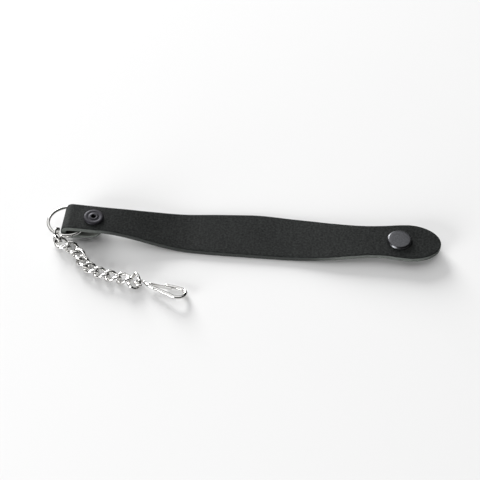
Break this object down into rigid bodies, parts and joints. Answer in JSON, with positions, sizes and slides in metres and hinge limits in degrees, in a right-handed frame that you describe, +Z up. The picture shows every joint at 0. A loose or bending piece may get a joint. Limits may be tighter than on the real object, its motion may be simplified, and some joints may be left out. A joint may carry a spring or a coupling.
{
  "type": "sporran hanger strap",
  "caption": "Shaped leather hanger strap with press studs, folded round a wire ring that carries a curb chain and a spring clip, lying flat.",
  "frame": {"origin": "underside of the strap, in the middle of the stretch that lies flat on the surface", "axes": "+X from the ring end to the tip, +Y to the left seen from above with the tip ahead, +Z up"},
  "size_m": [0.203, 0.0609, 0.0117],
  "materials": {
    "leather": "smooth black leather with a fine grain",
    "nickel": "bright nickel plate",
    "gunmetal": "dark gunmetal plate, satin"
  },
  "bodies": {
    "root": {"strap": "leather", "ring": "nickel", "snap_eyelet": "gunmetal", "snap_stud": "gunmetal", "snap_cap": "gunmetal", "snap_socket": "gunmetal", "link_01": "nickel", "link_02": "nickel", "link_03": "nickel", "link_04": "nickel", "link_05": "nickel", "link_06": "nickel", "link_07": "nickel", "link_08": "nickel", "link_09": "nickel", "link_10": "nickel", "clip_body": "nickel"},
    "gate": {"clip_gate": "nickel"}
  },
  "joints": [
    {"name": "gate_spring", "type": "hinge", "parent": "root", "child": "gate", "pos_m": [-0.03549, -0.03523, 0.0019], "axis": [-0.0783, -0.316, -0.9455], "range_deg": [0, 12], "stiffness_Nm_per_rad": 0.05}
  ]
}
